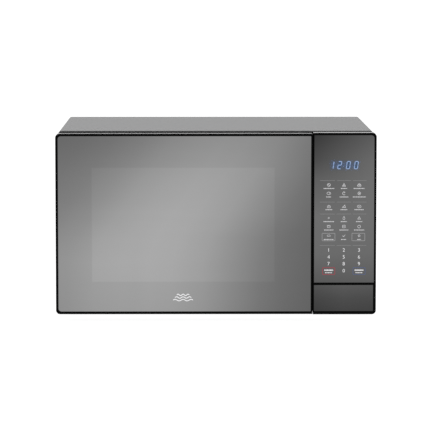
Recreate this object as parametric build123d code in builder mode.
from build123d import *
import math
import os

os.makedirs("parts", exist_ok=True)

# Countertop microwave oven with a mirror-glass side-hinged door.
# Millimetres. X to the right, Y to the back, Z up. The origin is the middle of the
# footprint, at the height of the surface that the feet stand on.

# Driving dimensions: the whole oven
overall_width = 513.0
overall_depth = 430.0
overall_height = 304.0
foot_height = 12.0
front_y = -overall_depth / 2
spacer_tip_y = overall_depth / 2

# Sheet-metal case
sheet = 1.0
case_half = 253.6
case_corner = 5.0
chassis_half = case_half - sheet
chassis_corner = case_corner - 0.8
case_top = overall_height
cover_front = -174.0
cover_back = 203.0
rear_panel_y = cover_back - 2 * sheet
base_thickness = 1.2
base_z = foot_height
floor_z = base_z + base_thickness
plate_front = -176.0
plate_back = plate_front + sheet
plate_half = 251.0

# Oven cavity, inside faces
wall = 0.8
cavity_left = -229.0
cavity_right = 125.0
cavity_bottom = 37.0
cavity_top = 275.0
cavity_back = 189.0
cavity_x = (cavity_left + cavity_right) / 2
cavity_z = (cavity_bottom + cavity_top) / 2
cavity_width = cavity_right - cavity_left
cavity_height = cavity_top - cavity_bottom
bay_left = cavity_right + wall

# Door
door_left = -overall_width / 2
door_right = 154.5
door_bottom = 12.1
door_top = 302.0
door_depth = 38.0
door_back = front_y + door_depth
door_width = door_right - door_left
door_height = door_top - door_bottom
door_x = (door_left + door_right) / 2
door_z = (door_bottom + door_top) / 2
rim = 3.6
low_rim = 4.0
seam_rim = 2.2
corner = 6.5
seam_corner = 1.5
rim_round = 0.4
glass_inset = 0.4
glass_width = door_width - rim - seam_rim
glass_height = door_height - rim - low_rim
glass_x = (door_left + rim + door_right - seam_rim) / 2
glass_z = (door_bottom + low_rim + door_top - rim) / 2
glass_thickness = 3.2
glass_back = front_y + glass_inset + glass_thickness
ledge_back = glass_back + 3.0
window_width = 292.0
window_height = 183.0
window_x = -52.5
window_z = 156.0

# Hinge of the door: a vertical axis inside the back left corner
hinge_x = -244.0
hinge_y = -191.0
pin_radius = 2.5
running_gap = 0.06
tab_half = 5.0
tab_thickness = 2.5
tab_levels = (19.5, 291.5)
hinge_sweep = door_back - hinge_y

# Latch hooks of the door and their catches
hook_left = 143.5
hook_right = 149.5
hook_tip = -150.0
hook_height = 12.0
hook_nose = 4.0
hook_levels = (74.0, 230.0)
latch_travel = 4.0

# Control panel
panel_left = 155.4
panel_right = overall_width / 2
panel_bottom = 11.5
panel_top = 303.3
panel_front = front_y + 1.0
panel_x = (panel_left + panel_right) / 2
panel_z = (panel_bottom + panel_top) / 2
panel_glass_left = 156.9
panel_glass_right = 253.1
panel_glass_bottom = 62.6
panel_glass_top = 299.6
panel_glass_front = panel_front + 0.3
panel_glass_back = panel_glass_front + 2.5
foil_back = panel_glass_back + 0.3
panel_ledge_back = foil_back + 2.5
display_x = 207.0
display_z = 251.8
board_front = -199.0
board_back = board_front + 1.6

# Door button
button_left = 156.7
button_right = 252.3
button_bottom = 16.2
button_top = 59.1
button_front = panel_glass_front
button_gap = 0.35
spring_x = 232.0
spring_z = 37.0

# Release lever behind the button
lever_y = -166.0
lever_z = 58.0
lever_pin_radius = 2.0

# Turntable
table_x = cavity_x
table_y = 8.0
wheel_radius = 8.0
wheel_track = 96.3
wheel_z = cavity_bottom + 0.3 + wheel_radius
tray_bottom = wheel_z + wheel_radius + 0.3
tray_radius = 157.5
shaft_radius = 3.5

# Fan
fan_x = 188.0
fan_z = 225.0

# Lamp
lamp_y = 112.0
lamp_z = 245.0

# Magnetron
magnetron_y = 10.0
magnetron_z = 180.0
guide_right = 160.0


def save(piece, name):
    """Label a finished sub-part and write it to its own file."""
    piece.part.label = name
    export_step(piece.part, "parts/" + name + ".step")


def front_plane(y):
    """Plane across the oven at depth y: drawn in X and Z, facing the front."""
    return Plane.XZ.offset(-y)


def side_plane(x):
    """Plane along the oven at x: drawn in Y and Z, facing right."""
    return Plane.YZ.offset(x)


def block(low, high, mode=Mode.ADD):
    """Box between two opposite corners."""
    middle = [(low[axis] + high[axis]) / 2 for axis in range(3)]
    with Locations(tuple(middle)):
        Box(high[0] - low[0], high[1] - low[1], high[2] - low[2], mode=mode)


def rod(start, direction, radius, length, mode=Mode.ADD):
    """Cylinder from a start point along a direction."""
    with Locations(Plane(origin=start, z_dir=direction)):
        Cylinder(radius, length, align=(Align.CENTER, Align.CENTER, Align.MIN), mode=mode)


def coil(start, direction, radius, wire, length, turns):
    """Coil spring from a start point along a direction, as a part of its own."""
    with BuildPart() as spring:
        with BuildLine() as path:
            Helix(length / turns, length, radius, center=start, direction=direction)
        with BuildSketch(Plane(origin=path.line @ 0, z_dir=path.line % 0)):
            Circle(wire)
        sweep(is_frenet=True)
    return spring


# ---------------------------------------------------------------- case


def make_outer_case():
    """U-shaped painted cover: top and two sides, with an inward flange at the back."""
    height = case_top - 14.0
    vent_slot = (22.0, 2.4)
    with BuildPart() as outer_case:
        with BuildSketch(front_plane(cover_front)) as outside:
            with Locations((0, case_top - height / 2)):
                Rectangle(2 * case_half, height)
            fillet(outside.vertices().group_by(Axis.Y)[-1], case_corner)
        extrude(amount=cover_front - cover_back)
        with BuildSketch(front_plane(cover_front)) as inside:
            with Locations((0, case_top - sheet - height / 2)):
                Rectangle(2 * case_half - 2 * sheet, height)
            fillet(inside.vertices().group_by(Axis.Y)[-1], case_corner - sheet)
        extrude(amount=cover_front - cover_back + sheet, mode=Mode.SUBTRACT)
        block((-240, cover_back - 2, 0), (240, cover_back + 1, case_top - 11), mode=Mode.SUBTRACT)
        # Air inlets of the right side, beside the transformer
        with BuildSketch(side_plane(case_half - 2 * sheet)):
            with Locations((-20, 75)):
                with GridLocations(28, 7, 6, 10):
                    SlotOverall(*vent_slot)
        extrude(amount=3 * sheet, mode=Mode.SUBTRACT)
        # Steam outlets of the left side
        with BuildSketch(side_plane(-case_half - sheet)):
            with Locations((110, 235)):
                with GridLocations(28, 7, 4, 8):
                    SlotOverall(*vent_slot)
        extrude(amount=3 * sheet, mode=Mode.SUBTRACT)
        # Screw holes of the back flange
        with BuildSketch(front_plane(cover_back - 2)):
            with Locations(*case_screw_places()):
                Circle(2.0)
        extrude(amount=-3, mode=Mode.SUBTRACT)
    save(outer_case, "outer_case")


def case_screw_places():
    """Where screws hold the cover to the rear panel, in X and Z."""
    sides = [(x, z) for x in (-245, 245) for z in (40, 150, 265)]
    return sides + [(-120, 298), (120, 298)]


def make_case_screws():
    with BuildPart() as case_screws:
        for x, z in case_screw_places():
            rod((x, cover_back, z), (0, 1, 0), 4.0, 2.4)
            rod((x, cover_back + 1.2, z), (0, 1, 0), 1.6, 2.0, mode=Mode.SUBTRACT)
            rod((x, rear_panel_y - 7, z), (0, 1, 0), 1.9, 9.5)
    save(case_screws, "case_screws")


def make_base_plate():
    """Bottom pan: side flanges, ribs of openings and a hatch under the motor."""
    flange = 13.0
    with BuildPart() as base_plate:
        block((-chassis_half, plate_back, base_z), (chassis_half, rear_panel_y, floor_z))
        for side in (-1, 1):
            low_x, high_x = sorted((side * (chassis_half - sheet), side * chassis_half))
            block((low_x, -162, floor_z), (high_x, rear_panel_y, floor_z + flange))
        # Air slots below the component bay
        with BuildSketch(Plane.XY.offset(base_z - 1)):
            with Locations((190, -110)):
                with GridLocations(14, 26, 6, 2):
                    SlotOverall(20, 3, rotation=90)
            with Locations((table_x, table_y)):
                Circle(31)
                Circle(29.5, mode=Mode.SUBTRACT)
                with PolarLocations(30.2, 4, start_angle=45):
                    Rectangle(8, 8, mode=Mode.SUBTRACT)
            with Locations(*foot_places()):
                Circle(2.6)
        extrude(amount=3, mode=Mode.SUBTRACT)
    save(base_plate, "base_plate")


def foot_places():
    """Where the feet stand, in X and Y. The front pair stands well back."""
    return [(x, y) for x in (-205, 205) for y in (-104, 165)]


def make_feet():
    """Moulded feet with a push stud through the base plate."""
    with BuildPart() as feet:
        for x, y in foot_places():
            with Locations((x, y, 0)):
                Cone(12.0, 14.0, foot_height, align=(Align.CENTER, Align.CENTER, Align.MIN))
            rod((x, y, foot_height), (0, 0, 1), 2.5, base_thickness)
            rod((x, y, floor_z), (0, 0, 1), 4.0, 1.8)
            rod((x, y, -1), (0, 0, 1), 7.0, 2.5, mode=Mode.SUBTRACT)
        fillet(feet.faces().sort_by(Axis.Z)[0].outer_wire().edges(), 0.8)
    save(feet, "feet")


def make_rear_panel():
    """Back sheet with the fan inlet, the steam vents and the hole of the inlet gland."""
    with BuildPart() as rear_panel:
        with BuildSketch(front_plane(rear_panel_y)) as outline:
            with Locations((0, (base_z + case_top - sheet) / 2)):
                Rectangle(2 * chassis_half, case_top - sheet - base_z)
            fillet(outline.vertices().group_by(Axis.Y)[-1], chassis_corner)
        extrude(amount=-sheet)
        with BuildSketch(front_plane(rear_panel_y - 1)):
            # Fan inlet: rings of round holes
            for ring in range(1, 6):
                with Locations((fan_x, fan_z)):
                    with PolarLocations(8.5 * ring, 6 * ring):
                        Circle(2.6)
            with Locations((fan_x, fan_z)):
                Circle(2.6)
            # Outlet louvres behind the oven cavity
            with Locations((-110, 245)):
                with GridLocations(30, 8, 6, 5):
                    SlotOverall(24, 3)
            with Locations((60, 60)):
                with GridLocations(30, 8, 3, 3):
                    SlotOverall(24, 3)
            with Locations(*case_screw_places()):
                Circle(2.0)
            with Locations(*spacer_places()):
                Circle(3.0)
            with Locations((218, 34)):
                Rectangle(20, 16)
        extrude(amount=-3, mode=Mode.SUBTRACT)
    save(rear_panel, "rear_panel")


def spacer_places():
    """Where the rear spacers stand, in X and Z."""
    return [(x, z) for x in (-190, 60) for z in (100, 200)]


def make_rear_spacers():
    """Moulded buffers that keep air room behind the oven."""
    face = rear_panel_y + sheet
    with BuildPart() as rear_spacers:
        for x, z in spacer_places():
            with Locations(Plane(origin=(x, face, z), z_dir=(0, 1, 0))):
                Cone(11, 7, spacer_tip_y - face, align=(Align.CENTER, Align.CENTER, Align.MIN))
            rod((x, face - sheet, z), (0, 1, 0), 3.0, sheet)
            rod((x, face - sheet, z), (0, -1, 0), 4.5, 2.0)
    save(rear_spacers, "rear_spacers")


def make_power_inlet_grommet():
    """Gland of the mains cable: a flanged bush through the rear panel."""
    face = rear_panel_y + sheet
    with BuildPart() as power_inlet_grommet:
        block((208, rear_panel_y, 26), (228, face, 42))
        block((204, face, 22), (232, face + 4, 46))
        block((206, rear_panel_y - 4, 24), (230, rear_panel_y, 44))
        fillet(power_inlet_grommet.faces().sort_by(Axis.Y)[-1].edges(), 1.5)
        rod((218, rear_panel_y - 6, 34), (0, 1, 0), 4.2, 20, mode=Mode.SUBTRACT)
    save(power_inlet_grommet, "power_inlet_grommet")


# ---------------------------------------------------------------- chassis


def make_front_plate():
    """Steel front of the chassis, set in at the sides to clear the swinging door."""
    with BuildPart() as front_plate:
        with BuildSketch(front_plane(plate_front)) as outline:
            with Locations((0, (base_z + case_top - sheet) / 2)):
                Rectangle(2 * plate_half, case_top - sheet - base_z)
            fillet(outline.vertices().group_by(Axis.Y)[-1], chassis_corner)
        extrude(amount=-13)
        with BuildSketch(front_plane(plate_back)) as behind:
            with Locations((0, (base_z - 1 + case_top - 2 * sheet) / 2)):
                Rectangle(2 * plate_half - 2 * sheet, case_top - 2 * sheet - base_z + 1)
            fillet(behind.vertices().group_by(Axis.Y)[-1], chassis_corner - sheet)
        extrude(amount=-20, mode=Mode.SUBTRACT)
        block((-case_half, plate_back, base_z - 1), (case_half, -160, floor_z), mode=Mode.SUBTRACT)
        with BuildSketch(front_plane(plate_front - 1)):
            with Locations((cavity_x, cavity_z)):
                Rectangle(cavity_width, cavity_height)
            # Wiring window behind the control panel
            with Locations((204, 178)):
                Rectangle(76, 222)
            # Stem of the door button
            with Locations((166.5, 33)):
                Rectangle(13, 12)
            # Hook slots, wider to the right for the arc that the hooks follow
            for level in hook_levels:
                with Locations((147.9, level + hook_height / 2)):
                    Rectangle(11.0, hook_height + 2 * hook_nose + 3)
            # Slots of the hinge tabs
            for level in tab_levels:
                with Locations((hinge_x, level + tab_thickness / 2)):
                    Rectangle(2 * tab_half + 0.4, tab_thickness + 0.4)
            with Locations(*panel_screw_places()):
                Circle(1.8)
        extrude(amount=-3, mode=Mode.SUBTRACT)
    save(front_plate, "front_plate")


def make_oven_cavity():
    """Welded oven box, open at the front, with its port, vents and shaft hole."""
    with BuildPart() as oven_cavity:
        block(
            (cavity_left - wall, plate_back, cavity_bottom - wall),
            (cavity_right + wall, cavity_back + wall, cavity_top + wall),
        )
        block(
            (cavity_left, plate_back - 1, cavity_bottom),
            (cavity_right, cavity_back, cavity_top),
            mode=Mode.SUBTRACT,
        )
        with BuildSketch(side_plane(cavity_right - 1)):
            # Port of the waveguide
            with Locations((-5, 175)):
                Rectangle(54, 50)
            # Lamp holes
            with Locations((lamp_y, lamp_z)):
                with GridLocations(6, 6, 5, 4):
                    Circle(1.8)
            # Air inlet holes
            with Locations((-85, 180)):
                with GridLocations(6, 6, 6, 6):
                    Circle(1.8)
        extrude(amount=3, mode=Mode.SUBTRACT)
        with BuildSketch(side_plane(cavity_left - 2)):
            # Steam outlet holes
            with Locations((110, 235)):
                with GridLocations(6, 6, 10, 6):
                    Circle(1.8)
        extrude(amount=3, mode=Mode.SUBTRACT)
        # Round well lip and shaft hole of the floor
        with Locations((table_x, table_y, cavity_bottom)):
            Cylinder(115, 0.4, align=(Align.CENTER, Align.CENTER, Align.MIN))
            Cylinder(108, 0.4, align=(Align.CENTER, Align.CENTER, Align.MIN), mode=Mode.SUBTRACT)
        rod((table_x, table_y, 30), (0, 0, 1), 7.0, 10, mode=Mode.SUBTRACT)
    save(oven_cavity, "oven_cavity")


def make_hinge_brackets():
    """Two steel brackets: a leaf behind the front plate and a tab with the pin hole."""
    with BuildPart() as hinge_brackets:
        for level in tab_levels:
            inward = 1 if level < door_z else -1
            ends = sorted((level + tab_thickness / 2 - inward * 1.25, level + inward * 32))
            block((-248.5, plate_back, ends[0]), (-231, plate_back + 2.5, ends[1]))
            block(
                (hinge_x - tab_half, hinge_y, level),
                (hinge_x + tab_half, plate_back + 2.5, level + tab_thickness),
            )
            rod((hinge_x, hinge_y, level), (0, 0, 1), tab_half, tab_thickness)
            rod(
                (hinge_x, hinge_y, level - 1),
                (0, 0, 1),
                pin_radius + running_gap,
                tab_thickness + 2,
                mode=Mode.SUBTRACT,
            )
    save(hinge_brackets, "hinge_brackets")


# ---------------------------------------------------------------- door


def make_door_frame():
    """Moulded door frame: gloss rim, glass ledge, hollow back and hinge corners."""
    inner_left = door_left + rim
    inner_right = door_right - seam_rim
    inner_bottom = door_bottom + rim
    inner_top = door_top - rim
    column_right = hinge_x + 0.1
    with BuildPart() as door_frame:
        with BuildSketch(front_plane(front_y)) as outline:
            with Locations((door_x, door_z)):
                Rectangle(door_width, door_height)
            fillet(outline.vertices().group_by(Axis.X)[0], corner)
            fillet(outline.vertices().group_by(Axis.X)[-1].sort_by(Axis.Y)[-1], seam_corner)
        extrude(amount=-door_depth)
        fillet(door_frame.faces().sort_by(Axis.Y)[0].edges(), rim_round)
        # Rebate of the top, in front of the edge of the cover
        block(
            (door_left - 1, -190, door_top - 1.5),
            (door_right + 1, door_back + 1, door_top + 1),
            mode=Mode.SUBTRACT,
        )
        # Seat of the glass
        with BuildSketch(front_plane(front_y)) as seat:
            with Locations((glass_x, glass_z)):
                Rectangle(glass_width, glass_height)
            fillet(seat.vertices().group_by(Axis.X)[0], corner - 1.5)
            fillet(seat.vertices().group_by(Axis.X)[-1], seam_corner)
        extrude(amount=-(glass_back + 0.1 - front_y), mode=Mode.SUBTRACT)
        with BuildSketch(front_plane(front_y)):
            with Locations((window_x, window_z)):
                RectangleRounded(window_width + 6, window_height + 6, 5)
        extrude(amount=-10, mode=Mode.SUBTRACT)
        # Hollow back, with a solid column at the hinge edge
        block(
            (inner_left, ledge_back, inner_bottom),
            (inner_right, hinge_y - 1, inner_top),
            mode=Mode.SUBTRACT,
        )
        block(
            (column_right, hinge_y - 1.5, inner_bottom),
            (inner_right, door_back + 1, inner_top),
            mode=Mode.SUBTRACT,
        )
        # Hinge corners
        for low, high in ((inner_bottom, 37.0), (276.0, inner_top)):
            block((inner_left, hinge_y - 12, low), (-239.5, door_back, high))
        for level in tab_levels:
            block(
                (door_left - 1, hinge_y - 10, level - 0.6),
                (hinge_x + tab_half + 0.8, door_back + 1, level + tab_thickness + 0.6),
                mode=Mode.SUBTRACT,
            )
        for low, high in ((inner_bottom, 31.0), (282.0, inner_top)):
            rod((hinge_x, hinge_y, low), (0, 0, 1), pin_radius, high - low, mode=Mode.SUBTRACT)
        # Back edge rounded about the hinge axis, so that it clears the chassis
        with BuildSketch(Plane.XY.offset(door_bottom - 1)):
            with Locations((hinge_x - 10, hinge_y + 10)):
                Rectangle(20, 20)
            with Locations((hinge_x, hinge_y)):
                Circle(hinge_sweep, mode=Mode.SUBTRACT)
        extrude(amount=door_height + 2, mode=Mode.SUBTRACT)
        # Seat of the latch spring
        block((hook_left - 1, -205, 272.4), (inner_right, -189, 275.4))
    save(door_frame, "door_frame")


def make_door_glass():
    """Mirror-coated outer glass with a fine ground edge."""
    clearance = 0.3
    with BuildPart() as door_glass:
        with BuildSketch(front_plane(front_y + glass_inset)) as outline:
            with Locations((glass_x, glass_z)):
                Rectangle(glass_width - clearance, glass_height - clearance)
            fillet(outline.vertices().group_by(Axis.X)[0], corner - 1.6)
            fillet(outline.vertices().group_by(Axis.X)[-1], seam_corner)
        extrude(amount=-glass_thickness)
        chamfer(door_glass.faces().sort_by(Axis.Y)[0].edges(), 0.3)
    save(door_glass, "door_glass")


def make_door_choke_panel():
    """Pressed steel inner panel: flat centre and a slotted channel around it."""
    left, right, bottom, top = -239.0, 142.0, 24.0, 289.0
    flat_left, flat_right = cavity_left + 1, cavity_right - 1
    flat_bottom, flat_top = cavity_bottom + 1, cavity_top - 1
    front, flat_front, flat_back, lip = -207.0, -183.0, -182.0, -186.0
    with BuildPart() as door_choke_panel:
        block((left, front, bottom), (right, lip, top))
        block((left + 1, front + 1, bottom + 1), (right - 1, lip + 1, top - 1), mode=Mode.SUBTRACT)
        block((flat_left, front, flat_bottom), (flat_right, flat_back, flat_top))
        block(
            (flat_left + 1, front - 1, flat_bottom + 1),
            (flat_right - 1, flat_front, flat_top - 1),
            mode=Mode.SUBTRACT,
        )
        with BuildSketch(front_plane(flat_front - 1)):
            with Locations((window_x, window_z)):
                RectangleRounded(window_width, window_height, 4)
        extrude(amount=-3, mode=Mode.SUBTRACT)
        # Slots that divide the outer wall of the choke into fingers
        slot_step, slot_width, slot_depth = 20.0, 3.0, 12.0
        middle_x = (left + right) / 2
        middle_z = (bottom + top) / 2
        for x in (left, right):
            for index in range(-6, 7):
                z = middle_z + index * slot_step
                block(
                    (x - 2, lip - slot_depth, z - slot_width / 2),
                    (x + 2, lip + 1, z + slot_width / 2),
                    mode=Mode.SUBTRACT,
                )
        for z in (bottom, top):
            for index in range(-9, 10):
                x = middle_x + index * slot_step
                block(
                    (x - slot_width / 2, lip - slot_depth, z - 2),
                    (x + slot_width / 2, lip + 1, z + 2),
                    mode=Mode.SUBTRACT,
                )
    save(door_choke_panel, "door_choke_panel")


def make_door_screen():
    """Perforated screen across the window, as the slab that its holes fill."""
    with BuildPart() as door_screen:
        with BuildSketch(front_plane(-183.6)):
            with Locations((window_x, window_z)):
                Rectangle(window_width + 10, window_height + 10)
        extrude(amount=-0.6)
    save(door_screen, "door_screen")


def make_door_choke_cover():
    """Moulded ring that closes the choke channel on the oven side."""
    with BuildPart() as door_choke_cover:
        block((-243.7, -181.0, 16.0), (152.1, -177.3, 298.4))
        block((-220, -182, 46), (116, -176, 266), mode=Mode.SUBTRACT)
        fillet(door_choke_cover.faces().sort_by(Axis.Y)[-1].inner_wires()[0].edges(), 1.5)
        for low, high in ((15.0, 37.4), (275.6, 299.0)):
            block((-245, -182, low), (-237, -176, high), mode=Mode.SUBTRACT)
        for level in hook_levels:
            block(
                (142.7, -182, level - 1.5),
                (150.3, -176, level + hook_height + latch_travel + 1.5),
                mode=Mode.SUBTRACT,
            )
    save(door_choke_cover, "door_choke_cover")


def make_door_inner_window():
    """Clear sheet that covers the screen on the oven side."""
    with BuildPart() as door_inner_window:
        with BuildSketch(front_plane(-182.0)):
            with Locations((cavity_x, cavity_z)):
                RectangleRounded(334, 218, 3)
        extrude(amount=-1.4)
    save(door_inner_window, "door_inner_window")


def make_hinge_pins():
    """Two pins, fixed in the corners of the door frame."""
    with BuildPart() as hinge_pins:
        for low, high in ((door_bottom + rim, 31.0), (282.0, door_top - rim)):
            rod((hinge_x, hinge_y, low), (0, 0, 1), pin_radius, high - low)
    save(hinge_pins, "hinge_pins")


def make_door_latch():
    """Sliding latch of the door: one bar with two hooks that enter the chassis."""
    bar_front, bar_back = -204.0, -190.0
    with BuildPart() as door_latch:
        block((hook_left, bar_front, 66), (hook_right, bar_back, 250))
        rod((146.5, -197, 250), (0, 0, 1), 1.8, 8)
        for level in hook_levels:
            with BuildSketch(side_plane(hook_left)):
                with BuildLine():
                    Polyline(
                        (bar_back - 1, level - 2),
                        (bar_back + 6, level),
                        (hook_tip - 7, level),
                        (hook_tip - 7, level - hook_nose),
                        (hook_tip - 4, level - hook_nose),
                        (hook_tip, level + 3),
                        (hook_tip, level + hook_height - 3),
                        (hook_tip - 3, level + hook_height),
                        (bar_back - 1, level + hook_height),
                        close=True,
                    )
                make_face()
            extrude(amount=hook_right - hook_left)
    save(door_latch, "door_latch")


def make_latch_spring():
    """Coil spring that holds the latch down."""
    latch_spring = coil((146.5, -197, 250.5), (0, 0, 1), 3.2, 0.4, 21.4, 7)
    save(latch_spring, "latch_spring")


# ---------------------------------------------------------------- control panel


def panel_screw_places():
    """Where screws hold the panel housing to the front plate, in X and Z."""
    return [(x, z) for x in (162.0, 244.0) for z in (69.0, 293.0)]


def board_post_places():
    """Where the control board rests on its posts, in X and Z."""
    return [(x, z) for x in (170.0, 242.0) for z in (84.0, 282.0)]


def make_panel_housing():
    """Moulded box of the control panel, with the glass ledge and the button opening."""
    depth = plate_front - panel_front
    ledge = panel_ledge_back
    with BuildPart() as panel_housing:
        with BuildSketch(front_plane(panel_front)) as outline:
            with Locations((panel_x, panel_z)):
                Rectangle(panel_right - panel_left, panel_top - panel_bottom)
            fillet(outline.vertices().group_by(Axis.X)[-1], corner)
            fillet(outline.vertices().group_by(Axis.X)[0].sort_by(Axis.Y)[-1], seam_corner)
        extrude(amount=-depth)
        fillet(panel_housing.faces().sort_by(Axis.Y)[0].edges(), rim_round)
        # Rebate of the top, in front of the edge of the cover
        block(
            (panel_left - 1, -193, panel_top - 1.5),
            (panel_right + 1, plate_front + 1, panel_top + 1),
            mode=Mode.SUBTRACT,
        )
        # Seat of the glass and the touch foil
        with BuildSketch(front_plane(panel_front)) as seat:
            with Locations(glass_middle()):
                Rectangle(
                    panel_glass_right - panel_glass_left + 0.2,
                    panel_glass_top - panel_glass_bottom + 0.2,
                )
            fillet(seat.vertices().group_by(Axis.X)[-1].sort_by(Axis.Y)[-1], corner - 1.5)
        extrude(amount=-(foil_back - panel_front), mode=Mode.SUBTRACT)
        # Hollow behind the ledge
        block((158.5, ledge, 61.9), (254.0, plate_front + 1, 299.0), mode=Mode.SUBTRACT)
        # Opening of the display
        with BuildSketch(front_plane(panel_front)):
            with Locations((display_x, display_z)):
                Rectangle(60.4, 22.4)
        extrude(amount=-(ledge - panel_front + 1), mode=Mode.SUBTRACT)
        # Tunnel of the door button
        block(
            (button_left - button_gap, panel_front - 1, button_bottom - button_gap),
            (button_right + button_gap, plate_front + 1, button_top + button_gap),
            mode=Mode.SUBTRACT,
        )
        # Posts of the control board and of the fixing screws
        for x, z in board_post_places():
            rod((x, ledge, z), (0, 1, 0), 3.5, board_front - ledge)
            rod((x, ledge, z), (0, 1, 0), 1.2, board_front - ledge, mode=Mode.SUBTRACT)
        for x, z in panel_screw_places():
            rod((x, ledge, z), (0, 1, 0), 4.0, plate_front - ledge)
            rod((x, ledge + 10, z), (0, 1, 0), 1.4, plate_front - ledge, mode=Mode.SUBTRACT)
    save(panel_housing, "panel_housing")


def glass_middle():
    """Middle of the panel glass, in X and Z."""
    return ((panel_glass_left + panel_glass_right) / 2, (panel_glass_bottom + panel_glass_top) / 2)


def make_panel_glass():
    with BuildPart() as panel_glass:
        with BuildSketch(front_plane(panel_glass_front)) as outline:
            with Locations(glass_middle()):
                Rectangle(
                    panel_glass_right - panel_glass_left,
                    panel_glass_top - panel_glass_bottom,
                )
            fillet(outline.vertices().group_by(Axis.X)[-1].sort_by(Axis.Y)[-1], corner - 1.6)
        extrude(amount=-(panel_glass_back - panel_glass_front))
        chamfer(panel_glass.faces().sort_by(Axis.Y)[0].edges(), 0.25)
    save(panel_glass, "panel_glass")


def make_touch_foil():
    """Touch sensor film behind the glass, cut out for the display."""
    with BuildPart() as touch_foil:
        with BuildSketch(front_plane(panel_glass_back)):
            with Locations(glass_middle()):
                RectangleRounded(
                    panel_glass_right - panel_glass_left - 1,
                    panel_glass_top - panel_glass_bottom - 1,
                    3,
                )
            with Locations((display_x, display_z)):
                Rectangle(56, 18, mode=Mode.SUBTRACT)
        extrude(amount=-(foil_back - panel_glass_back))
    save(touch_foil, "touch_foil")


def make_display_module():
    with BuildPart() as display_module:
        block(
            (display_x - 30, foil_back, display_z - 11),
            (display_x + 30, board_front, display_z + 11),
        )
        chamfer(display_module.edges().filter_by(Axis.Y), 1.0)
    save(display_module, "display_module")


def make_control_board():
    with BuildPart() as control_board:
        block((165.5, board_front, 78), (246.5, board_back, 288))
        with BuildSketch(front_plane(board_front)):
            with Locations(*board_post_places()):
                Circle(1.6)
        extrude(amount=-2, mode=Mode.SUBTRACT)
    save(control_board, "control_board")


def make_board_components():
    """Relays, supply transformer, capacitors, sounder and connectors of the board."""
    with BuildPart() as board_components:
        for z in (110, 134):
            block((172, board_back, z), (200, board_back + 16, z + 18))
        block((206, board_back, 108), (240, board_back + 17, 142))
        for x, z in ((178, 170), (194, 170), (212, 166), (228, 166)):
            rod((x, board_back, z), (0, 1, 0), 5.0, 13)
        rod((186, board_back, 200), (0, 1, 0), 8.0, 9)
        for z in (186, 206, 226):
            block((212, board_back, z), (236, board_back + 9, z + 8))
        block((198, board_back, 238), (222, board_back + 4, 262))
    save(board_components, "board_components")


def make_panel_screws():
    with BuildPart() as panel_screws:
        for x, z in panel_screw_places():
            rod((x, plate_back, z), (0, 1, 0), 3.4, 2.2)
            rod((x, plate_front - 9, z), (0, 1, 0), 1.35, 9 + sheet)
    save(panel_screws, "panel_screws")


def make_door_button():
    """Wide push button: a dished cap with a skirt, a spring post and a stem."""
    skirt_back = button_front + 16
    skin = 2.5
    with BuildPart() as door_button:
        block((button_left, button_front, button_bottom), (button_right, skirt_back, button_top))
        fillet(door_button.faces().sort_by(Axis.Y)[0].edges(), 0.8)
        block(
            (button_left + 2, button_front + skin, button_bottom + 2),
            (button_right - 2, skirt_back + 1, button_top - 2),
            mode=Mode.SUBTRACT,
        )
        # Stem that pushes the release lever
        block((162, button_front + skin, 30), (171, lever_y - 4.3, 36))
        rod((spring_x, button_front + skin, spring_z), (0, 1, 0), 3.6, 20)
    save(door_button, "door_button")


def make_button_spring():
    start = button_front + 2.5 + 0.6
    length = plate_front - 0.6 - start
    button_spring = coil((spring_x, start, spring_z), (0, 1, 0), 5.0, 0.5, length, 8)
    save(button_spring, "button_spring")


# ---------------------------------------------------------------- latch and switches


def make_latch_board():
    """Moulded board beside the oven cavity: hook windows, catches and lever pin."""
    with BuildPart() as latch_board:
        block((129, plate_back, 56), (135, -126, 256))
        block((129, plate_back, 56), (158, plate_back + 3, 256))
        for level in hook_levels:
            block(
                (141.5, plate_back - 1, level - 6),
                (154.5, plate_back + 4, level + hook_height + latch_travel + 3),
                mode=Mode.SUBTRACT,
            )
            block((135, plate_back + 3, level - 8.5), (156, -160, level - hook_nose - 0.5))
        # Web behind the lower catch, and the pin of the release lever
        block((134, plate_back + 2, 51), (139, lever_y + 7, 66))
        rod((139, lever_y, lever_z), (1, 0, 0), lever_pin_radius, 36)
        rod((130, lever_y, lever_z), (1, 0, 0), 5.5, 9)
    save(latch_board, "latch_board")


def make_release_lever():
    """Bell crank: the button pushes its lower arm and its rear arm lifts the hook."""
    with BuildPart() as release_lever:
        rod((139.4, lever_y, lever_z), (1, 0, 0), 4.0, 33.6)
        # Lifting arm under the lower hook
        block((143.5, lever_y, lever_z - 3), (149.5, -150, lever_z + 3))
        block((143.5, -156, lever_z - 3), (149.5, -150, hook_levels[0] - hook_nose - 0.5))
        # Pushed arm
        block((161.5, lever_y - 4, 27), (171.5, lever_y, lever_z))
        rod(
            (138, lever_y, lever_z),
            (1, 0, 0),
            lever_pin_radius + running_gap,
            40,
            mode=Mode.SUBTRACT,
        )
    save(release_lever, "release_lever")


switch_levels = {"primary": 76.0, "monitor": 108.0, "secondary": 232.0}
switch_front = -146.0


def make_door_switches():
    """Three microswitches on the latch board, each with two blade terminals."""
    with BuildPart() as door_switches:
        for level in switch_levels.values():
            block((135, switch_front, level - 3), (146, switch_front + 18, level + 25))
            for offset in (2, 16):
                block(
                    (139, switch_front + 18, level + offset),
                    (139.8, switch_front + 28, level + offset + 5),
                )
            rod(
                (140.5, switch_front - 1, level + 5),
                (0, 1, 0),
                1.6 + running_gap,
                6,
                mode=Mode.SUBTRACT,
            )
    save(door_switches, "door_switches")


def make_switch_plungers():
    """Plungers of the three switches. They move on their own, so each is a piece."""
    for name, level in switch_levels.items():
        with BuildPart() as plunger:
            rod((140.5, switch_front - 3.2, level + 5), (0, 1, 0), 1.6, 6.2)
            fillet(plunger.faces().sort_by(Axis.Y)[0].edges(), 0.8)
        save(plunger, name + "_switch_plunger")


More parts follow.
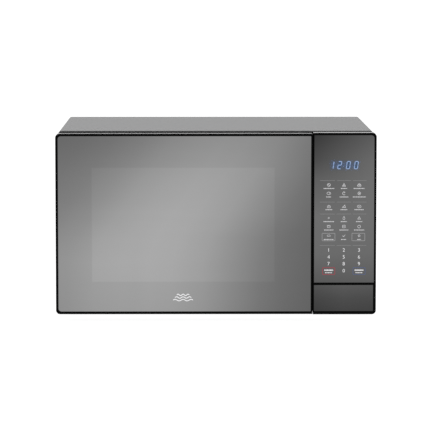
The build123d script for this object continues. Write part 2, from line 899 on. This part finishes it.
# ---------------------------------------------------------------- power parts


def make_waveguide():
    """Steel duct that carries the microwaves from the magnetron to the oven port."""
    with BuildPart() as waveguide:
        block((bay_left, -42, 136), (guide_right, 58, 224))
        block((bay_left, -50, 130), (bay_left + wall, 66, 230))
        block((bay_left - 1, -42 + wall, 136 + wall), (guide_right - wall, 58 - wall, 224 - wall),
              mode=Mode.SUBTRACT)
        rod((guide_right - 2, magnetron_y, magnetron_z), (1, 0, 0), 12, 4, mode=Mode.SUBTRACT)
    save(waveguide, "waveguide")


def make_mica_cover():
    """Mica sheet over the oven port, held by four studs."""
    with BuildPart() as mica_cover:
        block((cavity_right - 0.8, -45, 140), (cavity_right, 35, 210))
        chamfer(mica_cover.edges().filter_by(Axis.X), 6.0)
        for y in (-38, 28):
            for z in (148, 202):
                rod((cavity_right - 0.8, y, z), (-1, 0, 0), 3.0, 1.2)
    save(mica_cover, "mica_cover")


def make_magnetron_yoke():
    """Steel yoke of the magnetron, open to the cooling air front and back."""
    with BuildPart() as magnetron_yoke:
        block((guide_right, -36, 142), (162, 56, 218))
        block((162, -27, 142), (206, 47, 218))
        block((163.5, -28, 143.5), (204.5, 48, 216.5), mode=Mode.SUBTRACT)
        rod((guide_right - 1, magnetron_y, magnetron_z), (1, 0, 0), 10, 50, mode=Mode.SUBTRACT)
    save(magnetron_yoke, "magnetron_yoke")


def make_magnetron_anode():
    """Anode cylinder with the antenna dome that stands in the waveguide."""
    with BuildPart() as magnetron_anode:
        rod((168, magnetron_y, magnetron_z), (1, 0, 0), 19, 32)
        rod((146, magnetron_y, magnetron_z), (1, 0, 0), 6.5, 22)
        rod((200, magnetron_y, magnetron_z), (1, 0, 0), 8.0, 12)
        fillet(magnetron_anode.faces().sort_by(Axis.X)[0].edges(), 4.0)
    save(magnetron_anode, "magnetron_anode")


def make_magnetron_magnets():
    """Two ferrite rings, one at each end of the anode."""
    with BuildPart() as magnetron_magnets:
        for x in (163.5, 200.2):
            rod((x, magnetron_y, magnetron_z), (1, 0, 0), 27, 4.3)
            rod((x - 1, magnetron_y, magnetron_z), (1, 0, 0), 10, 7, mode=Mode.SUBTRACT)
    save(magnetron_magnets, "magnetron_magnets")


def make_magnetron_fins():
    """Cooling fins pressed on the anode."""
    with BuildPart() as magnetron_fins:
        for index in range(9):
            x = 171.0 + 3.2 * index
            block((x, -25, 150), (x + 0.6, 45, 210))
            rod((x - 1, magnetron_y, magnetron_z), (1, 0, 0), 19, 3, mode=Mode.SUBTRACT)
    save(magnetron_fins, "magnetron_fins")


def make_magnetron_filter_box():
    """Screening box on the cathode end, with the two-pin connector."""
    with BuildPart() as magnetron_filter_box:
        block((206, -16, 154), (234, 36, 206))
        block((206.8, -15.2, 154.8), (233.2, 35.2, 205.2), mode=Mode.SUBTRACT)
        rod((205, magnetron_y, magnetron_z), (1, 0, 0), 10, 3, mode=Mode.SUBTRACT)
        block((212, -26, 172), (228, -16, 188))
        for z in (177, 182):
            block((217, -34, z), (223, -26, z + 0.8))
    save(magnetron_filter_box, "magnetron_filter_box")


def make_transformer_core():
    """Laminated core of the high-voltage transformer, with its foot plate."""
    with BuildPart() as transformer_core:
        block((142, -55, floor_z + 1.5), (238, 5, 95))
        block((138, -60, floor_z), (242, 10, floor_z + 1.5))
        for low, high in ((158, 174), (206, 222)):
            block((low, -56, 31), (high, 6, 79), mode=Mode.SUBTRACT)
    save(transformer_core, "transformer_core")


def make_transformer_windings():
    """Primary and secondary coils around the middle limb of the core."""
    with BuildPart() as transformer_windings:
        for low, high in ((33, 51), (55, 77)):
            with BuildSketch(Plane.XY.offset(low)):
                with Locations((190, -25)):
                    RectangleRounded(62, 96, 12)
                    Rectangle(32.4, 60.4, mode=Mode.SUBTRACT)
            extrude(amount=high - low)
    save(transformer_windings, "transformer_windings")


def make_capacitor():
    """High-voltage capacitor: an oval can with two terminals on top."""
    with BuildPart() as capacitor:
        with BuildSketch(Plane.XY.offset(floor_z + 1)):
            with Locations((195, 95)):
                SlotOverall(52, 33)
        extrude(amount=88)
        fillet(capacitor.faces().sort_by(Axis.Z)[-1].edges(), 1.5)
        for x in (184, 206):
            rod((x, 95, floor_z + 89), (0, 0, 1), 5.0, 4)
            block((x - 3, 94.6, floor_z + 93), (x + 3, 95.4, floor_z + 103))
    save(capacitor, "capacitor")


def make_capacitor_clamp():
    """Steel strap round the capacitor, with a foot on the base plate."""
    with BuildPart() as capacitor_clamp:
        with BuildSketch(Plane.XY.offset(45)):
            with Locations((195, 95)):
                SlotOverall(53.6, 34.6)
                SlotOverall(52, 33, mode=Mode.SUBTRACT)
        extrude(amount=16)
        block((221.2, 88, floor_z), (223.4, 102, 61))
        block((221.8, 88, floor_z), (240, 102, floor_z + 1.6))
    save(capacitor_clamp, "capacitor_clamp")


def make_high_voltage_diode():
    """Diode of the doubler circuit, with its leads and the earth lug."""
    with BuildPart() as high_voltage_diode:
        rod((156, 84, 24), (0, 1, 0), 3.6, 22)
        rod((156, 76, 24), (0, 1, 0), 0.8, 8)
        rod((156, 106, 24), (0, 1, 0), 0.8, 8)
        block((153, 112, floor_z), (159, 113, 27))
        block((151, 112, floor_z), (161, 124, floor_z + 1))
    save(high_voltage_diode, "high_voltage_diode")


# ---------------------------------------------------------------- cooling, light, filter


def make_fan_shroud():
    """Fan ring on four posts, with the bar that carries the motor."""
    plate_y = 188.0
    with BuildPart() as fan_shroud:
        block((fan_x - 56, plate_y, fan_z - 58), (fan_x + 56, plate_y + 1.5, fan_z + 58))
        rod((fan_x, 170, fan_z), (0, 1, 0), 50.5, plate_y - 170)
        rod((fan_x, 160, fan_z), (0, 1, 0), 48.5, 40, mode=Mode.SUBTRACT)
        for x in (fan_x - 50, fan_x + 50):
            for z in (fan_z - 52, fan_z + 52):
                rod((x, plate_y, z), (0, 1, 0), 4.0, rear_panel_y - plate_y)
        # Motor bar with its two legs
        block((fan_x - 56, 162, fan_z - 9), (fan_x + 56, 164, fan_z + 9))
        for low in (fan_x - 56, fan_x + 53):
            block((low, 162, fan_z - 9), (low + 3, plate_y, fan_z + 9))
        rod((fan_x, 160, fan_z), (0, 1, 0), 6.0, 6, mode=Mode.SUBTRACT)
    save(fan_shroud, "fan_shroud")


def make_fan_motor():
    """Shaded-pole motor: laminated stack, coil and two bearing caps."""
    with BuildPart() as fan_motor:
        block((fan_x - 30, 142, fan_z - 20), (fan_x + 22, 158, fan_z + 20))
        block((fan_x - 46, 138, fan_z - 14), (fan_x - 30, 162, fan_z + 14))
        rod((fan_x, 136, fan_z), (0, 1, 0), 13, 26)
        rod((fan_x, 134, fan_z), (0, 1, 0), 2.0 + running_gap, 30, mode=Mode.SUBTRACT)
    save(fan_motor, "fan_motor")


def make_fan_blade():
    """Five twisted blades on a hub, with the motor shaft."""
    blade_root = 12.0
    blade_tip = 46.0
    with BuildPart() as blade:
        for radius, chord, pitch in ((blade_root, 18, 40), (blade_tip, 26, 22)):
            lean = math.radians(pitch)
            with BuildSketch(
                Plane(origin=(radius, 0, 0), x_dir=(0, math.sin(lean), math.cos(lean)), z_dir=(1, 0, 0))
            ):
                RectangleRounded(chord, 1.6, 0.7)
        loft()
    with BuildPart() as fan_blade:
        rod((fan_x, 172, fan_z), (0, 1, 0), 14, 14)
        for index in range(5):
            with Locations(Location((fan_x, 179, fan_z), (0, 72 * index, 0))):
                add(blade.part)
        rod((fan_x, 138, fan_z), (0, 1, 0), 2.0, 34)
    save(fan_blade, "fan_blade")


def make_lamp_holder():
    """Sheet box beside the lamp holes, with the bulb inside."""
    with BuildPart() as lamp_holder:
        block((bay_left, lamp_y - 22, lamp_z - 19), (160, lamp_y + 22, lamp_z + 19))
        block(
            (bay_left - 1, lamp_y - 22 + wall, lamp_z - 19 + wall),
            (160 - wall, lamp_y + 22 - wall, lamp_z + 19 - wall),
            mode=Mode.SUBTRACT,
        )
        rod((160 - wall, lamp_y, lamp_z), (1, 0, 0), 9, 8)
    save(lamp_holder, "lamp_holder")


def make_lamp_bulb():
    """Tubular glass with rounded ends, seated in the lamp socket."""
    with BuildPart() as lamp_bulb:
        rod((132, lamp_y, lamp_z), (1, 0, 0), 10.5, 19)
        fillet(lamp_bulb.edges().filter_by(GeomType.CIRCLE), 8)
        rod((148, lamp_y, lamp_z), (1, 0, 0), 7, 11.2)
    save(lamp_bulb, "lamp_bulb")


def make_thermal_cutouts():
    """Two thermal cutouts: one on the oven wall, one on the magnetron."""
    with BuildPart() as thermal_cutouts:
        rod((bay_left, 74, 252), (1, 0, 0), 8, 7)
        rod((184, magnetron_y, 218), (0, 0, 1), 8, 7)
        for y in (70, 77):
            block((bay_left + 7, y, 249), (bay_left + 15, y + 0.8, 255))
        for x in (180, 187):
            block((x, 7, 225), (x + 0.8, 13, 233))
    save(thermal_cutouts, "thermal_cutouts")


def make_noise_filter_board():
    """Mains filter board on the rear panel: fuse, choke, capacitor and terminals."""
    face = 190.0
    with BuildPart() as noise_filter_board:
        block((150, face, 58), (242, face + 1.6, 142))
        for x in (155, 237):
            for z in (63, 137):
                rod((x, face + 1.6, z), (0, 1, 0), 3, rear_panel_y - face - 1.6)
        block((206, face - 14, 104), (236, face, 122))
        rod((176, face - 14, 118), (0, 1, 0), 15, 14)
        block((158, face - 8, 70), (198, face, 78))
        rod((162, face - 9, 74), (1, 0, 0), 3.2, 32)
        for z in (66, 80):
            block((214, face - 10, z), (232, face, z + 6))
    save(noise_filter_board, "noise_filter_board")


# ---------------------------------------------------------------- turntable


def make_turntable_motor():
    """Flat synchronous motor below the oven floor."""
    top = cavity_bottom - wall
    with BuildPart() as turntable_motor:
        rod((table_x, table_y, top - 14.5), (0, 0, 1), 25, 14.5)
        for side in (-1, 1):
            low_x, high_x = sorted((table_x + side * 20, table_x + side * 33))
            block((low_x, table_y - 6, top - 1.2), (high_x, table_y + 6, top))
        block((table_x - 9, table_y - 34, top - 12), (table_x + 9, table_y - 20, top - 4))
        rod(
            (table_x, table_y, top - 12.5),
            (0, 0, 1),
            shaft_radius + running_gap,
            20,
            mode=Mode.SUBTRACT,
        )
    save(turntable_motor, "turntable_motor")


def make_turntable_coupler():
    """Motor shaft and the three-lobed coupler that drives the tray."""
    with BuildPart() as turntable_coupler:
        rod((table_x, table_y, 24.2), (0, 0, 1), shaft_radius, 20)
        rod((table_x, table_y, cavity_bottom + 2), (0, 0, 1), 9, 13.2)
        with BuildSketch(Plane.XY.offset(cavity_bottom + 7)):
            for angle in (90, 210, 330):
                with Locations(Location((table_x, table_y), angle)):
                    Rectangle(17, 8, align=(Align.MIN, Align.CENTER))
        extrude(amount=8.2)
    save(turntable_coupler, "turntable_coupler")


def make_roller_ring():
    """Carrier ring with three axle stubs, which have snap ends."""
    with BuildPart() as roller_ring:
        with BuildSketch(Plane.XY.offset(wheel_z - 3.5)):
            with Locations((table_x, table_y)):
                Circle(92)
                Circle(84, mode=Mode.SUBTRACT)
        extrude(amount=7)
        for angle in roller_angles:
            direction = (math.cos(math.radians(angle)), math.sin(math.radians(angle)), 0)
            for reach, radius, length in ((90, 2.0, 13.0), (100.9, 2.7, 2.1)):
                start = (table_x + reach * direction[0], table_y + reach * direction[1], wheel_z)
                rod(start, direction, radius, length)
    save(roller_ring, "roller_ring")


roller_angles = (30, 150, 270)


def make_rollers():
    """Three small wheels that turn on the axle stubs of the ring."""
    inner_end = wheel_track - 3.8
    for number, angle in enumerate(roller_angles, start=1):
        direction = (math.cos(math.radians(angle)), math.sin(math.radians(angle)), 0)
        start = (
            table_x + inner_end * direction[0],
            table_y + inner_end * direction[1],
            wheel_z,
        )
        with BuildPart() as roller:
            with Locations(Plane(origin=start, z_dir=direction)):
                Cylinder(wheel_radius, 7.6, align=(Align.CENTER, Align.CENTER, Align.MIN))
                Cylinder(
                    2.0 + running_gap,
                    20,
                    align=(Align.CENTER, Align.CENTER, Align.CENTER),
                    mode=Mode.SUBTRACT,
                )
            fillet(roller.edges().filter_by(GeomType.CIRCLE).group_by(SortBy.RADIUS)[-1], 0.8)
        save(roller, "roller_" + str(number))


def make_glass_tray():
    """Round glass tray with a raised rim and a keyed socket below."""
    thickness = 5.0
    rim_top = tray_bottom + 14.5
    with BuildPart() as glass_tray:
        with BuildSketch(Plane(origin=(table_x, table_y, 0), x_dir=(1, 0, 0), z_dir=(0, -1, 0))):
            with BuildLine():
                Polyline(
                    (0, tray_bottom + thickness),
                    (0, tray_bottom),
                    (138, tray_bottom),
                )
                Spline(
                    (138, tray_bottom),
                    (150, tray_bottom + 2.5),
                    (tray_radius, rim_top - 2),
                    tangents=[(1, 0), (0.2, 1)],
                )
                Polyline(
                    (tray_radius, rim_top - 2),
                    (tray_radius, rim_top),
                    (tray_radius - 3.5, rim_top),
                )
                Spline(
                    (tray_radius - 3.5, rim_top),
                    (146, tray_bottom + thickness + 2.2),
                    (136, tray_bottom + thickness),
                    tangents=[(-0.2, -1), (-1, 0)],
                )
                Line((136, tray_bottom + thickness), (0, tray_bottom + thickness))
            make_face()
        revolve(axis=Axis((table_x, table_y, 0), (0, 0, 1)))
        # Socket ring and three keys between the lobes of the coupler
        with BuildSketch(Plane.XY.offset(tray_bottom - 5.5)):
            with Locations((table_x, table_y)):
                Circle(24)
                Circle(19, mode=Mode.SUBTRACT)
            for angle in (30, 150, 270):
                with Locations(Location((table_x, table_y), angle)):
                    with Locations((11, 0)):
                        Rectangle(10, 5, align=(Align.MIN, Align.CENTER))
        extrude(amount=6.0)
    save(glass_tray, "glass_tray")


make_outer_case()
make_case_screws()
make_base_plate()
make_feet()
make_rear_panel()
make_rear_spacers()
make_power_inlet_grommet()
make_front_plate()
make_oven_cavity()
make_hinge_brackets()
make_door_frame()
make_door_glass()
make_door_choke_panel()
make_door_screen()
make_door_choke_cover()
make_door_inner_window()
make_hinge_pins()
make_door_latch()
make_latch_spring()
make_panel_housing()
make_panel_glass()
make_touch_foil()
make_display_module()
make_control_board()
make_board_components()
make_panel_screws()
make_door_button()
make_button_spring()
make_latch_board()
make_release_lever()
make_door_switches()
make_switch_plungers()
make_waveguide()
make_mica_cover()
make_magnetron_yoke()
make_magnetron_anode()
make_magnetron_magnets()
make_magnetron_fins()
make_magnetron_filter_box()
make_transformer_core()
make_transformer_windings()
make_capacitor()
make_capacitor_clamp()
make_high_voltage_diode()
make_fan_shroud()
make_fan_motor()
make_fan_blade()
make_lamp_holder()
make_lamp_bulb()
make_thermal_cutouts()
make_noise_filter_board()
make_turntable_motor()
make_turntable_coupler()
make_roller_ring()
make_rollers()
make_glass_tray()
